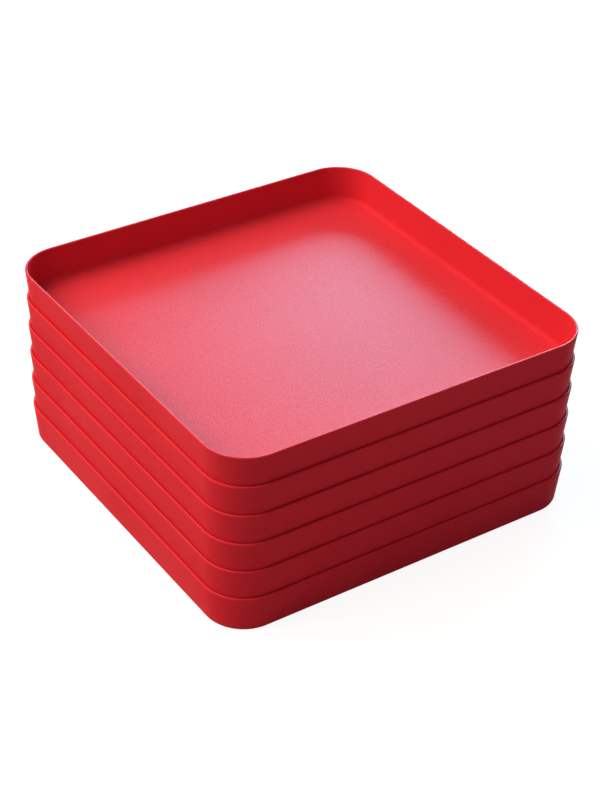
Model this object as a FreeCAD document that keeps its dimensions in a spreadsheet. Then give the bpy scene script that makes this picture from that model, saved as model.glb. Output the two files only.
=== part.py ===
"""Stack of six square sorting trays for jigsaw puzzle pieces, in millimetres.

Every tray is the same injection moulding: a thin floor, four walls that lean outwards, well rounded
corners, a rounded rim, and a flat foot round the underside. The lean of the walls makes the trays
stack: the foot of one slips into the rim of the next until the two tapers meet, nest_depth down.
The top tray, which is open to view, has its roundings in full. The five that it covers repeat it
with fewer faces: each of their roundings is the bevel that comes nearest to it.
"""
import FreeCAD, Part
import math
import os

import Sketcher

SHEET_NAME = "Dimensions"

# The driving dimensions: one tray, and how deep it sits in the tray below.
DIMENSIONS = {
    "tray_side": 200.0,
    "tray_height": 19.4,
    "corner_radius": 21.5,
    "wall_thickness": 1.4,
    "floor_thickness": 1.6,
    "nest_depth": 4.0,
    "seat_clearance": 0.1,
    "cove_radius": 2.0,
    "lead_in_bevel": 1.2,
    "rim_round": 0.6,
    "foot_width": 7.0,
    "foot_relief": 0.4,
}

# From the table upwards. Each name is also the name of the tray's file.
TRAY_NAMES = ("bottom_tray", "second_tray", "third_tray", "fourth_tray", "fifth_tray", "top_tray")

# How far a corner of a face or edge may lie off the height that it is looked up by.
SAME_HEIGHT = 1e-5

# The bevel that touches a rounding at its middle, as a share of the rounding's radius.
BEVEL_SHARE = 2 - math.sqrt(2)


def size(name):
    """The expression that reads one driving dimension from the sheet."""
    return f"{SHEET_NAME}.{name}"


# What follows from the driving dimensions, as expressions. The lean is the sideways run of a wall
# for each millimetre of height: over one pitch, the wall moves in by its own thickness and the
# clearance, so the outside of one tray meets the inside of the next at the rim.
TABLE_LEVEL = "0"
FLOOR_LEVEL = size("floor_thickness")
RIM_LEVEL = size("tray_height")
STACK_PITCH = f"({size('tray_height')} - {size('nest_depth')})"
WALL_LEAN = f"(({size('wall_thickness')} + {size('seat_clearance')}) / {STACK_PITCH})"
BASE_SIDE = f"({size('tray_side')} - 2 * {WALL_LEAN} * {size('tray_height')})"
BASE_RADIUS = f"({size('corner_radius')} - {WALL_LEAN} * {size('tray_height')})"
FLOOR_INSET = f"({size('wall_thickness')} - {WALL_LEAN} * {size('floor_thickness')})"
WIDEST_RIM_ROUND = f"0.45 * {size('wall_thickness')}"


def make_sheet(doc):
    """The spreadsheet, with a driving dimension and its alias in each row."""
    sheet = doc.addObject("Spreadsheet::Sheet", SHEET_NAME)
    for row, (name, value) in enumerate(DIMENSIONS.items(), start=1):
        sheet.set(f"A{row}", name)
        sheet.set(f"B{row}", str(value))
        sheet.setAlias(f"B{row}", name)
    doc.recompute()


def level_sketch(body, name, height):
    """An empty sketch in a tray, level, at a height above the tray's base."""
    plane = next(item for item in body.Origin.OriginFeatures if item.Role == "XY_Plane")
    sketch = body.newObject("Sketcher::SketchObject", name)
    sketch.AttachmentSupport = [(plane, "")]
    sketch.MapMode = "FlatFace"
    sketch.setExpression("AttachmentOffset.Base.z", height)
    return sketch


def rounded_square(body, name, height, side, radius):
    """A sketch of a square with rounded corners, centred on the tray's axis."""
    sketch = level_sketch(body, name, height)
    half = 0.5 * DIMENSIONS["tray_side"]
    bend = DIMENSIONS["corner_radius"]
    upright = FreeCAD.Vector(0, 0, 1)
    quarter_turn = math.radians(90)
    sides = []
    corners = []
    for quarter in range(4):
        turn = FreeCAD.Rotation(upright, 90 * quarter)
        start = turn.multVec(FreeCAD.Vector(half, bend - half, 0))
        end = turn.multVec(FreeCAD.Vector(half, half - bend, 0))
        centre = turn.multVec(FreeCAD.Vector(half - bend, half - bend, 0))
        circle = Part.Circle(centre, upright, bend)
        arc = Part.ArcOfCircle(circle, quarter * quarter_turn, (quarter + 1) * quarter_turn)
        sides.append(sketch.addGeometry(Part.LineSegment(start, end)))
        corners.append(sketch.addGeometry(arc))

    rules = []
    for quarter in range(4):
        direction = "Horizontal" if quarter % 2 else "Vertical"
        next_side = sides[(quarter + 1) % 4]
        rules.append(Sketcher.Constraint(direction, sides[quarter]))
        rules.append(Sketcher.Constraint("Tangent", sides[quarter], 2, corners[quarter], 1))
        rules.append(Sketcher.Constraint("Tangent", corners[quarter], 2, next_side, 1))
    for corner in corners[1:]:
        rules.append(Sketcher.Constraint("Equal", corners[0], corner))
    rules.append(Sketcher.Constraint("Equal", sides[0], sides[1]))
    rules.append(Sketcher.Constraint("Symmetric", sides[0], 1, sides[2], 1, -1, 1))
    sketch.addConstraint(rules)

    width = Sketcher.Constraint("DistanceX", sides[2], 1, sides[0], 1, 2 * half)
    sketch.setExpression(f"Constraints[{sketch.addConstraint(width)}]", side)
    corner_size = Sketcher.Constraint("Radius", corners[0], bend)
    sketch.setExpression(f"Constraints[{sketch.addConstraint(corner_size)}]", radius)
    return sketch


def extrude_up(body, kind, name, outline, length):
    """A pad or a pocket that goes up from its outline."""
    feature = body.newObject(f"PartDesign::{kind}", name)
    feature.Profile = outline
    feature.setExpression("Length", length)
    # A pad goes up from its sketch by itself, and a pocket goes down.
    feature.Reversed = kind == "Pocket"


def lying_between(shapes, label, lowest, highest):
    """Names of the faces or edges whose corners reach from one height to another."""
    names = []
    for number, item in enumerate(shapes, start=1):
        heights = [corner.Z for corner in item.Vertexes]
        if abs(min(heights) - lowest) < SAME_HEIGHT and abs(max(heights) - highest) < SAME_HEIGHT:
            names.append(f"{label}{number}")
    return names


def lean_walls(body, name, lowest, highest, pivot, outwards):
    """A draft of all walls between two heights, which keeps their outline at the pivot height."""
    body.Document.recompute()
    base = body.Tip
    feature = body.newObject("PartDesign::Draft", name)
    feature.Base = (base, lying_between(base.Shape.Faces, "Face", lowest, highest))
    feature.NeutralPlane = (base, lying_between(base.Shape.Faces, "Face", pivot, pivot)[:1])
    feature.Reversed = outwards
    feature.setExpression("Angle", f"atan({WALL_LEAN})")


def dress_edges(body, kind, name, height, measure, amount):
    """A fillet or a chamfer on every level edge of a tray at one height."""
    body.Document.recompute()
    base = body.Tip
    feature = body.newObject(f"PartDesign::{kind}", name)
    feature.Base = (base, lying_between(base.Shape.Edges, "Edge", height, height))
    feature.setExpression(measure, amount)


def round_edges(body, name, height, radius):
    """Rounded edges on the top tray, and the nearest bevel on the trays that it covers."""
    if body.Label == TRAY_NAMES[-1]:
        dress_edges(body, "Fillet", name, height, "Radius", radius)
    else:
        dress_edges(body, "Chamfer", name, height, "Size", f"{BEVEL_SHARE:.3f} * {radius}")


def mould_shell(body, sheet):
    """The floor and the leaning walls, with their rounded edges."""
    floor = sheet.floor_thickness
    rim = sheet.tray_height

    outline = rounded_square(body, "RimOutline", TABLE_LEVEL, size("tray_side"), size("corner_radius"))
    extrude_up(body, "Pad", "Blank", outline, RIM_LEVEL)
    lean_walls(body, "OuterLean", 0, rim, pivot=rim, outwards=True)

    mouth = rounded_square(body, "MouthOutline", FLOOR_LEVEL,
                           f"{BASE_SIDE} - 2 * {FLOOR_INSET}", f"{BASE_RADIUS} - {FLOOR_INSET}")
    extrude_up(body, "Pocket", "Compartment", mouth, f"{RIM_LEVEL} - {FLOOR_LEVEL}")
    lean_walls(body, "InnerLean", floor, rim, pivot=floor, outwards=False)

    round_edges(body, "Cove", floor, size("cove_radius"))
    round_edges(body, "RimRound", rim, f"min({size('rim_round')}; {WIDEST_RIM_ROUND})")


def mould_underside(body):
    """The bevel that leads a tray into the rim below, and the relief that leaves a foot all round."""
    dress_edges(body, "Chamfer", "LeadIn", 0, "Size", size("lead_in_bevel"))
    relief = rounded_square(body, "ReliefOutline", TABLE_LEVEL,
                            f"{BASE_SIDE} - 2 * {size('foot_width')}",
                            f"{BASE_RADIUS} - {size('foot_width')}")
    extrude_up(body, "Pocket", "FootRelief", relief, size("foot_relief"))


def make_tray(doc, name, place):
    """One tray, so many pitches above the table."""
    body = doc.addObject("PartDesign::Body", name)
    body.Label = name
    body.setExpression("Placement.Base.z", f"{place} * {STACK_PITCH}")
    mould_shell(body, doc.getObject(SHEET_NAME))
    mould_underside(body)
    return body


def check(doc, bodies):
    """Stop if a feature failed or a tray isn't one sound solid."""
    for item in doc.Objects:
        if "Invalid" in item.State or "Error" in item.State:
            raise RuntimeError(f"{item.Name} failed: {item.State}")
    for body in bodies:
        shape = body.Shape
        if shape.isNull() or not shape.isValid() or len(shape.Solids) != 1:
            raise RuntimeError(f"{body.Label} is not one sound solid")
        print(f"{body.Label}: {shape.Volume:.0f} cubic mm, base at {body.Placement.Base.z:.1f} mm")


document = FreeCAD.newDocument("SortingTrays")
make_sheet(document)
trays = [make_tray(document, name, place) for place, name in enumerate(TRAY_NAMES)]
document.recompute()
check(document, trays)

os.makedirs("parts", exist_ok=True)
for tray in trays:
    tray.Shape.exportStep(os.path.join("parts", f"{tray.Label}.step"))
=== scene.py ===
# %% [markdown]
# # A stack of sorting trays
# The object is a stack of six square trays, of the kind that jigsaw puzzlers sort with. Each tray is
# one thin moulding of red plastic, and each nests in the rim of the tray below it.
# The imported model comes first. It is the fixed frame: places and outer sizes are read from it, and
# nothing in this script changes them.

# %% Load the frame
import math

import bpy
from mathutils import Matrix, Vector


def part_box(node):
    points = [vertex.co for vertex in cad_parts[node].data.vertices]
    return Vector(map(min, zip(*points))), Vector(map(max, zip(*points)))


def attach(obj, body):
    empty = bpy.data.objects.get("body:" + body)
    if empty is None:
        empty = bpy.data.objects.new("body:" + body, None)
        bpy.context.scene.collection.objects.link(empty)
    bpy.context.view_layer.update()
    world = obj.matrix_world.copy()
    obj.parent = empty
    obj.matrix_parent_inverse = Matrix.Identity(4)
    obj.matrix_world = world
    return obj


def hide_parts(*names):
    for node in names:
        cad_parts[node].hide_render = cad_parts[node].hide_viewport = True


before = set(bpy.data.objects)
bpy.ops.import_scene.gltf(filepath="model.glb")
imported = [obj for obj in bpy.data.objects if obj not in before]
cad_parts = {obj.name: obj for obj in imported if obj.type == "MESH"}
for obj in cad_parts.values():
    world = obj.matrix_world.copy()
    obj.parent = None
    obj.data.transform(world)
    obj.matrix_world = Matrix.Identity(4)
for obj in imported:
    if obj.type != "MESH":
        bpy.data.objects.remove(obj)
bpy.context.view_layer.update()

TRAY_NODES = ("bottom_tray", "second_tray", "third_tray", "fourth_tray", "fifth_tray", "top_tray")
MM = 0.001


def in_mm(lengths):
    """Lengths in rounded millimetres, to be printed."""
    return [round(length / MM, 2) for length in lengths]


# %% [markdown]
# ## The camera
# The photograph looks down on one corner of the stack. Matching it comes before everything else,
# because a wrong viewpoint makes a right shape look wrong. A camera is three things: where it
# stands, how it is turned, and how long its lens is. Blender measures the lens against the longer
# side of the picture, so a focal length in pixels is turned into millimetres with the picture's
# height.

# %% Camera
# The picture in pixels, and the sensor in millimetres.
PICTURE_WIDTH = 600
PICTURE_HEIGHT = 800
FOCAL_PIXELS = 1961
VANISHING_CENTRE = Vector((298.4, 396.6))
SENSOR_SIZE = 36.0

# Where the camera stands, in degrees and metres.
CAMERA_AZIMUTH = math.radians(55.47)
CAMERA_ELEVATION = math.radians(34.54)
CAMERA_ROLL = math.radians(1.65)
CAMERA_DISTANCE = 0.978
CAMERA_SIDESTEP = 0.0021
CAMERA_RISE = 0.0318
NEAREST_SEEN = 0.01


def camera_turn():
    """The camera's right, up and backward directions."""
    back = Vector((
        math.sin(CAMERA_AZIMUTH) * math.cos(CAMERA_ELEVATION),
        -math.cos(CAMERA_AZIMUTH) * math.cos(CAMERA_ELEVATION),
        math.sin(CAMERA_ELEVATION),
    ))
    right = Vector((math.cos(CAMERA_AZIMUTH), math.sin(CAMERA_AZIMUTH), 0))
    return right, back.cross(right), back


def add_camera():
    right, up, back = camera_turn()
    data = bpy.data.cameras.new("camera")
    data.sensor_width = SENSOR_SIZE
    data.lens = FOCAL_PIXELS * SENSOR_SIZE / PICTURE_HEIGHT
    data.shift_x = (PICTURE_WIDTH / 2 - VANISHING_CENTRE.x) / PICTURE_HEIGHT
    data.shift_y = (VANISHING_CENTRE.y - PICTURE_HEIGHT / 2) / PICTURE_HEIGHT
    data.clip_start = NEAREST_SEEN

    camera = bpy.data.objects.new("camera", data)
    place = back * CAMERA_DISTANCE + right * CAMERA_SIDESTEP + up * CAMERA_RISE
    roll = Matrix.Rotation(CAMERA_ROLL, 4, back)
    turn = Matrix((right, up, back)).transposed().to_4x4()
    camera.matrix_world = Matrix.Translation(place) @ roll @ turn
    bpy.context.scene.collection.objects.link(camera)
    bpy.context.scene.camera = camera
    return camera


camera = add_camera()
print("camera:", round(camera.data.lens, 1), "mm lens")

# %% [markdown]
# ## The sizes of one tray
# The outside of a tray and the step from one tray to the next come from the frame. The rest are a
# moulder's own sizes. The walls lean outwards just enough for one tray to sit in the next: over one
# step, a wall moves in by its own thickness and a little clearance.

# %% Sizes
WALL_THICKNESS = 1.4 * MM
FLOOR_THICKNESS = 1.6 * MM
SEAT_CLEARANCE = 0.1 * MM
CORNER_RADIUS = 21.5 * MM
COVE_RADIUS = 2.0 * MM
LEAD_IN_BEVEL = 1.2 * MM
RIM_ROUND = 0.6 * MM
FOOT_WIDTH = 7.0 * MM
FOOT_RELIEF = 0.4 * MM

bottom_low, bottom_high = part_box("bottom_tray")
second_low, second_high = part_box("second_tray")
TRAY_SIDE = bottom_high.x - bottom_low.x
TRAY_HEIGHT = bottom_high.z - bottom_low.z
PITCH = second_low.z - bottom_low.z
LEAN = (WALL_THICKNESS + SEAT_CLEARANCE) / PITCH
print("tray:", in_mm((TRAY_SIDE, TRAY_HEIGHT, PITCH)), "mm")

# %% [markdown]
# ## One tray, as by hand
# A tray is a closed shell: outside, rim, inside and underside. It starts as one flat square at the
# height of the rim, with its corners rounded by a bevel. A copy of that square, turned over, becomes
# the outside, and the first one becomes the inside. Both are shaped with inset, which moves an
# outline inwards by the same amount everywhere and can lift or sink it as well. That keeps the
# rounded corners concentric, as a leaning moulded wall has them, which scaling the outline wouldn't
# do.

# %% Helpers for edit mode
LEVEL_TOLERANCE = 0.01 * MM
RING_TOLERANCE = 0.1 * MM
CORNER_CENTRE = TRAY_SIDE / 2 - CORNER_RADIUS


def mesh_mode(kind):
    """Select by vertex, edge or face, with nothing selected."""
    bpy.ops.mesh.select_mode(type=kind)
    bpy.ops.mesh.select_all(action="DESELECT")


def select_faces(piece, wanted):
    """Select the faces whose normal a test accepts."""
    mesh_mode("FACE")
    bpy.ops.object.mode_set(mode="OBJECT")
    for face in piece.data.polygons:
        face.select = wanted(face.normal)
    bpy.ops.object.mode_set(mode="EDIT")


def reach(point):
    """How far out a point lies from the square that the round corners are centred on."""
    return math.hypot(max(abs(point.x) - CORNER_CENTRE, 0), max(abs(point.y) - CORNER_CENTRE, 0))


def select_ring(piece, height, radius):
    """Select the level ring of edges whose corners have a given radius."""
    mesh_mode("EDGE")
    bpy.ops.object.mode_set(mode="OBJECT")
    on_ring = [
        abs(point.co.z - height) < LEVEL_TOLERANCE
        and abs(reach(point.co) - radius) < RING_TOLERANCE
        for point in piece.data.vertices
    ]
    for edge in piece.data.edges:
        edge.select = all(on_ring[number] for number in edge.vertices)
    bpy.ops.object.mode_set(mode="EDIT")


print("corners: centred", in_mm([CORNER_CENTRE]), "mm out from the middle")

# %% A square with round corners at the height of the rim
CORNER_STEPS = 24


def rounded_square(name, height):
    bpy.ops.object.select_all(action="DESELECT")
    bpy.ops.mesh.primitive_plane_add(size=TRAY_SIDE, location=(0, 0, height))
    piece = bpy.context.object
    piece.name = name
    bpy.ops.object.transform_apply(location=True, rotation=True, scale=True)
    bpy.ops.object.mode_set(mode="EDIT")
    mesh_mode("VERT")
    bpy.ops.mesh.select_all(action="SELECT")
    bpy.ops.mesh.bevel(offset=CORNER_RADIUS, segments=CORNER_STEPS, affect="VERTICES")
    bpy.ops.object.mode_set(mode="OBJECT")
    return piece


tray = rounded_square("tray", TRAY_HEIGHT)
print("outline:", len(tray.data.vertices), "points")


# %% The outside and the foot
def shape_outside(piece):
    """Turn a copy of the square over, taper it to the base, and sink the relief inside the foot."""
    bpy.ops.object.mode_set(mode="EDIT")
    mesh_mode("FACE")
    bpy.ops.mesh.select_all(action="SELECT")
    bpy.ops.mesh.duplicate()
    bpy.ops.mesh.flip_normals()
    bpy.ops.mesh.inset(thickness=LEAN * TRAY_HEIGHT, depth=TRAY_HEIGHT)
    bpy.ops.mesh.inset(thickness=FOOT_WIDTH)
    bpy.ops.mesh.extrude_region_move(TRANSFORM_OT_translate={"value": (0, 0, FOOT_RELIEF)})
    bpy.ops.object.mode_set(mode="OBJECT")


shape_outside(tray)
print("outside:", len(tray.data.polygons), "faces")

# %% The inside
NEARLY_UP = 0.9


def shape_inside(piece):
    """Step in from the outline by the wall, then go down along the leaning wall to the floor."""
    depth = TRAY_HEIGHT - FLOOR_THICKNESS
    bpy.ops.object.mode_set(mode="EDIT")
    select_faces(piece, lambda normal: normal.z > NEARLY_UP)
    bpy.ops.mesh.inset(thickness=WALL_THICKNESS)
    bpy.ops.mesh.inset(thickness=LEAN * depth, depth=-depth)
    bpy.ops.mesh.select_all(action="SELECT")
    bpy.ops.mesh.remove_doubles(threshold=LEVEL_TOLERANCE)
    bpy.ops.object.mode_set(mode="OBJECT")


shape_inside(tray)
print("shell:", len(tray.data.polygons), "faces")

# %% [markdown]
# ## Roundings
# No edge of a moulding is sharp. The mould gives the rim a rounding on both sides, the floor runs
# into the walls in a cove, and the base has a small slope that leads a tray into the rim below.
# Each is a bevel of one ring of edges, which is found by its height and by how far out it lies.

# %% Rim, cove and base
RIM_STEPS = 5
COVE_STEPS = 6
LEAD_IN_STEPS = 4

# The profile of a bevel: 0.25 is flat and 0.5 is round.
ROUND = 0.5
NEARLY_FLAT = 0.4

MOUTH_RADIUS = CORNER_RADIUS - WALL_THICKNESS
FLOOR_RADIUS = MOUTH_RADIUS - LEAN * (TRAY_HEIGHT - FLOOR_THICKNESS)
BASE_RADIUS = CORNER_RADIUS - LEAN * TRAY_HEIGHT


def round_ring(piece, height, radius, width, steps, profile=ROUND):
    bpy.ops.object.mode_set(mode="EDIT")
    select_ring(piece, height, radius)
    bpy.ops.mesh.bevel(offset=width, segments=steps, profile=profile, affect="EDGES")
    bpy.ops.object.mode_set(mode="OBJECT")


round_ring(tray, TRAY_HEIGHT, CORNER_RADIUS, RIM_ROUND, RIM_STEPS)
round_ring(tray, TRAY_HEIGHT, MOUTH_RADIUS, RIM_ROUND, RIM_STEPS)
round_ring(tray, FLOOR_THICKNESS, FLOOR_RADIUS, COVE_RADIUS, COVE_STEPS)
round_ring(tray, 0, BASE_RADIUS, LEAD_IN_BEVEL, LEAD_IN_STEPS, NEARLY_FLAT)
print("rounded:", len(tray.data.polygons), "faces")

# %% [markdown]
# ## Smooth shading
# Smooth shading blends the light across neighbouring faces, so a few faces look like one round
# form. On its own it would also bend the light on the flat floor beside the cove. A weighted normal
# modifier gives the large faces the last word, so flat stays flat and only the roundings turn.

# %% Smooth shading
SHARP_ANGLE = math.radians(50)
MOST_TO_LARGE_FACES = 100

bpy.ops.object.shade_smooth_by_angle(angle=SHARP_ANGLE)
weighting = tray.modifiers.new("weighting", "WEIGHTED_NORMAL")
weighting.keep_sharp = True
weighting.weight = MOST_TO_LARGE_FACES
bpy.ops.object.modifier_apply(modifier=weighting.name)
print("tray:", len(tray.data.polygons), "faces,", in_mm(tray.dimensions), "mm")

# %% [markdown]
# ## Red plastic
# The colour is in the plastic itself, so it varies only faintly, in the wide streaks that the
# plastic flowed in. What the eye reads as plastic is the finish. The walls are dull. The floor is
# polished but finely grained, so it carries a blurred sheen with a speckle in it. All of it is made
# from noise, which is read at each point of the plastic itself and so has no seams, as a picture
# wrapped round the tray would have. The dull finish is the base of the shader. The polish is a coat,
# laid on where the surface is level: the floor and the top of the rim.

# %% Helpers for materials
def new_material(name):
    material = bpy.data.materials.new(name)
    material.use_nodes = True
    return material, material.node_tree.nodes, material.node_tree.links


def add_noise(nodes, links, place, size, detail):
    """Soft patches of about one size, from 0 to 1. More detail gives them finer patches inside."""
    noise = nodes.new("ShaderNodeTexNoise")
    noise.inputs["Scale"].default_value = 1 / size
    noise.inputs["Detail"].default_value = detail
    links.new(place, noise.inputs["Vector"])
    return noise.outputs["Fac"]


def remap(nodes, links, value, span, result):
    """A value's way through one span, as a way through another, held at both ends."""
    node = nodes.new("ShaderNodeMapRange")
    for name, number in zip(("From Min", "From Max", "To Min", "To Max"), span + result):
        node.inputs[name].default_value = number
    links.new(value, node.inputs["Value"])
    return node.outputs["Result"]


def combine(nodes, links, operation, values):
    """Several values taken together by one operation."""
    result = values[0]
    for value in values[1:]:
        node = nodes.new("ShaderNodeMath")
        node.operation = operation
        links.new(result, node.inputs[0])
        links.new(value, node.inputs[1])
        result = node.outputs["Value"]
    return result


# %% Polish and grain
GRAIN_SIZE = 0.8 * MM
GRAIN_DETAIL = 2
GRAIN_DEPTH = 0.15 * MM
GRAIN_STRENGTH = 0.5
GRAIN_SPAN = (0.35, 0.65)
SPECKLE = (0.6, 1)

# The upward part of a face's normal: no polish below the first number, all of it from the second.
LEVEL_SPAN = (0.9, 0.995)


def add_polish(nodes, links, grain, shader):
    """A coat on the level faces, thinner in the hollows of the grain."""
    surface = nodes.new("ShaderNodeNewGeometry")
    upright = nodes.new("ShaderNodeSeparateXYZ")
    links.new(surface.outputs["Normal"], upright.inputs["Vector"])
    polish = remap(nodes, links, upright.outputs["Z"], LEVEL_SPAN, (0, 1))
    speckle = remap(nodes, links, grain, GRAIN_SPAN, SPECKLE)
    links.new(combine(nodes, links, "MULTIPLY", [polish, speckle]), shader.inputs["Coat Weight"])


def add_relief(nodes, links, grain, shader):
    """The grain's own hills and hollows, in the plastic and in its polish."""
    bump = nodes.new("ShaderNodeBump")
    bump.inputs["Strength"].default_value = GRAIN_STRENGTH
    bump.inputs["Distance"].default_value = GRAIN_DEPTH
    links.new(grain, bump.inputs["Height"])
    links.new(bump.outputs["Normal"], shader.inputs["Normal"])
    links.new(bump.outputs["Normal"], shader.inputs["Coat Normal"])


# %% Streaks
PLASTIC_RED = (0.645, 0.0215, 0.0265, 1)
DEEPER_RED = (0.61, 0.02, 0.0245, 1)
STREAK_SIZE = 60 * MM
STREAK_DETAIL = 3
STREAK_SPAN = (0.3, 0.7)
DULLNESS = (0.42, 0.5)


def add_streaks(nodes, links, place, shader):
    """Wide patches of a slightly deeper and duller red."""
    streaks = add_noise(nodes, links, place, STREAK_SIZE, STREAK_DETAIL)
    red = nodes.new("ShaderNodeMixRGB")
    red.inputs["Color1"].default_value = PLASTIC_RED
    red.inputs["Color2"].default_value = DEEPER_RED
    links.new(remap(nodes, links, streaks, STREAK_SPAN, (0, 1)), red.inputs["Fac"])
    links.new(red.outputs["Color"], shader.inputs["Base Color"])
    links.new(remap(nodes, links, streaks, STREAK_SPAN, DULLNESS), shader.inputs["Roughness"])


# %% Red plastic
WALL_SHEEN = 0.01
POLISH_BLUR = 0.45
POLISH_IOR = 1.5


def make_red_plastic():
    material, nodes, links = new_material("red_plastic")
    shader = nodes["Principled BSDF"]
    shader.inputs["Specular IOR Level"].default_value = WALL_SHEEN
    shader.inputs["Coat Roughness"].default_value = POLISH_BLUR
    shader.inputs["Coat IOR"].default_value = POLISH_IOR

    place = nodes.new("ShaderNodeTexCoord").outputs["Object"]
    grain = add_noise(nodes, links, place, GRAIN_SIZE, GRAIN_DETAIL)
    add_polish(nodes, links, grain, shader)
    add_streaks(nodes, links, place, shader)
    add_relief(nodes, links, grain, shader)
    return material


red_plastic = make_red_plastic()
tray.data.materials.append(red_plastic)
print("plastic:", len(red_plastic.node_tree.nodes), "nodes")

# %% [markdown]
# ## Six trays
# The finished tray is the pattern for all six, because they come from one mould. Each is a copy with
# its own mesh, lifted to where the frame has that tray. The lift is applied to the mesh, because
# every piece keeps its origin at the middle of the stack's base. Each copy stands in for one node of
# the frame, and the pattern is removed.

# %% Six trays
def place_tray(pattern, node):
    bpy.ops.object.select_all(action="DESELECT")
    pattern.select_set(True)
    bpy.context.view_layer.objects.active = pattern
    bpy.ops.object.duplicate()
    piece = bpy.context.object
    bpy.ops.transform.translate(value=(0, 0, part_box(node)[0].z))
    bpy.ops.object.transform_apply(location=True, rotation=True, scale=True)
    piece.name = f"{node}_moulding"
    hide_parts(node)
    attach(piece, "root")
    return piece


pieces = [place_tray(tray, node) for node in TRAY_NODES]
bpy.data.objects.remove(tray)
print("stack:", [piece.name for piece in pieces])

# %% [markdown]
# ## Floor
# The photograph has a plain white ground. A floor that is white to the camera would also throw white
# light up at the trays, so the floor has two sides to it. To the camera, and in reflections, it
# glows white. Near the stack it glows a little less, so that it still takes the stack's shadow. The
# light that is left in the shadow is cool, so the colour that takes it is warm, and the shadow comes
# out grey. To all other light the floor is a plain grey.

# %% Rays that are seen
def seen_rays(nodes, links):
    """1 for rays that a viewer follows, straight or by way of a mirror or glass, 0 for others."""
    rays = nodes.new("ShaderNodeLightPath")
    kinds = [rays.outputs[f"Is {kind} Ray"] for kind in ("Camera", "Glossy", "Transmission")]
    return combine(nodes, links, "MAXIMUM", kinds)


# %% Floor
FLOOR_SIZE = 8
SEEN_COLOUR = (0.21, 0.16, 0.12, 1)
PLAIN_GREY = (0.5, 0.5, 0.5, 1)

# The glow rises from the first number to the second over this span of distances, in metres.
GLOW = (0.9, 1)
GLOW_SPAN = (0.3, 1)


def add_matt(nodes, colour):
    matt = nodes.new("ShaderNodeBsdfDiffuse")
    matt.inputs["Color"].default_value = colour
    return matt.outputs["BSDF"]


def make_floor_material():
    material, nodes, links = new_material("pale_floor")
    nodes.remove(nodes["Principled BSDF"])
    distance = nodes.new("ShaderNodeVectorMath")
    distance.operation = "LENGTH"
    links.new(nodes.new("ShaderNodeTexCoord").outputs["Object"], distance.inputs[0])
    glow = nodes.new("ShaderNodeEmission")
    strength = remap(nodes, links, distance.outputs["Value"], GLOW_SPAN, GLOW)
    links.new(strength, glow.inputs["Strength"])

    white = nodes.new("ShaderNodeAddShader")
    links.new(glow.outputs["Emission"], white.inputs[0])
    links.new(add_matt(nodes, SEEN_COLOUR), white.inputs[1])
    choice = nodes.new("ShaderNodeMixShader")
    links.new(seen_rays(nodes, links), choice.inputs["Fac"])
    links.new(add_matt(nodes, PLAIN_GREY), choice.inputs[1])
    links.new(white.outputs["Shader"], choice.inputs[2])
    links.new(choice.outputs["Shader"], nodes["Material Output"].inputs["Surface"])
    return material


bpy.ops.object.select_all(action="DESELECT")
bpy.ops.mesh.primitive_plane_add(size=FLOOR_SIZE)
floor = bpy.context.object
floor.name = "floor"
floor.data.materials.append(make_floor_material())
print("floor:", round(floor.dimensions.x, 1), "m across")

# %% [markdown]
# ## Light
# The shading in the photograph tells where its lamps stood. The walls that face left are bright and
# those that face right are dark, and the far left wall lays a soft shadow on the floor beside it.
# So the main light is large, high and to the left. The pink sheen on the floor is the mirror image
# of a second, cooler light. The sheen stays well clear of the two far walls, because they hide that
# light from the floor beside them. So it stands low beyond the stack, like a window.

# %% Lamps
LAMP_DISTANCE = 1.3


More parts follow.
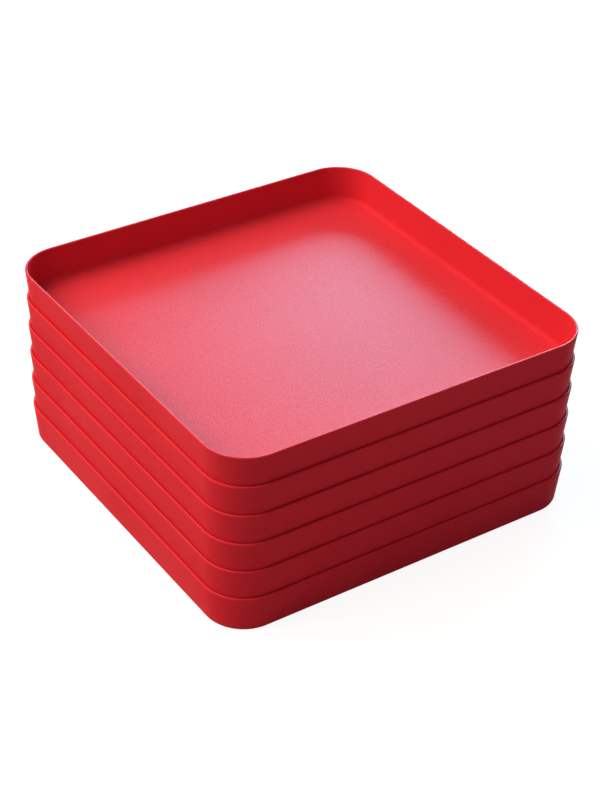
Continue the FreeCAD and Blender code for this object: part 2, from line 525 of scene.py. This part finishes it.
def add_softbox(name, direction, width, height, radiance, colour):
    """A rectangular lamp that faces the stack. At radiance 1 it is as bright as white paper."""
    data = bpy.data.lights.new(name, "AREA")
    data.shape = "RECTANGLE"
    data.size = width
    data.size_y = height
    data.energy = radiance * math.pi * width * height
    data.color = colour
    lamp = bpy.data.objects.new(name, data)
    outward = Vector(direction).normalized()
    turn = outward.to_track_quat("Z", "Y").to_matrix().to_4x4()
    lamp.matrix_world = Matrix.Translation(outward * LAMP_DISTANCE) @ turn
    lamp.visible_camera = False
    bpy.context.scene.collection.objects.link(lamp)
    return lamp


main_light = add_softbox("main_light", direction=(-0.5, -0.78, 1.2), width=1.1, height=1.1,
                         radiance=6.3, colour=(1, 0.97, 0.9))
back_light = add_softbox("back_light", direction=(-0.64, 0.77, 0.32), width=1.0, height=0.5,
                         radiance=18, colour=(0.12, 0.72, 1))
print("lamps:", [round(lamp.data.energy, 1) for lamp in (main_light, back_light)], "W")

# %% [markdown]
# ## Surroundings
# Around the stack is a plain studio: white near the horizon, where a camera may see it, and dim
# overhead. The dim part fills the shadows with cool light. Only camera, mirror and see-through rays
# meet the white, because it would flood the stack with light from all sides.

# %% Surroundings
FILL = 0.3
FILL_COLOUR = (0.92, 1, 1.5, 1)
WHITE = (1, 1, 1, 1)

# The upward part of the direction of view, from the end of the white to the start of the dim part.
HORIZON_SPAN = (0.25, 0.45)


def make_world():
    world = bpy.data.worlds.new("studio")
    world.use_nodes = True
    nodes, links = world.node_tree.nodes, world.node_tree.links
    background = nodes["Background"]

    direction = nodes.new("ShaderNodeSeparateXYZ")
    links.new(nodes.new("ShaderNodeTexCoord").outputs["Generated"], direction.inputs["Vector"])
    horizon = remap(nodes, links, direction.outputs["Z"], HORIZON_SPAN, (1, FILL))

    seen = seen_rays(nodes, links)
    strength = nodes.new("ShaderNodeMix")
    strength.inputs["A"].default_value = FILL
    links.new(seen, strength.inputs["Factor"])
    links.new(horizon, strength.inputs["B"])
    links.new(strength.outputs["Result"], background.inputs["Strength"])

    colour = nodes.new("ShaderNodeMixRGB")
    colour.inputs["Color1"].default_value = FILL_COLOUR
    colour.inputs["Color2"].default_value = WHITE
    links.new(seen, colour.inputs["Fac"])
    links.new(colour.outputs["Color"], background.inputs["Color"])
    return world


bpy.context.scene.world = make_world()
bpy.context.scene.view_settings.view_transform = "Standard"
print("world:", bpy.context.scene.world.name)

# %% [markdown]
# ## The end
# The scene is brought up to date, so that every piece stands where it was put.

# %% Update the scene
bpy.context.view_layer.update()
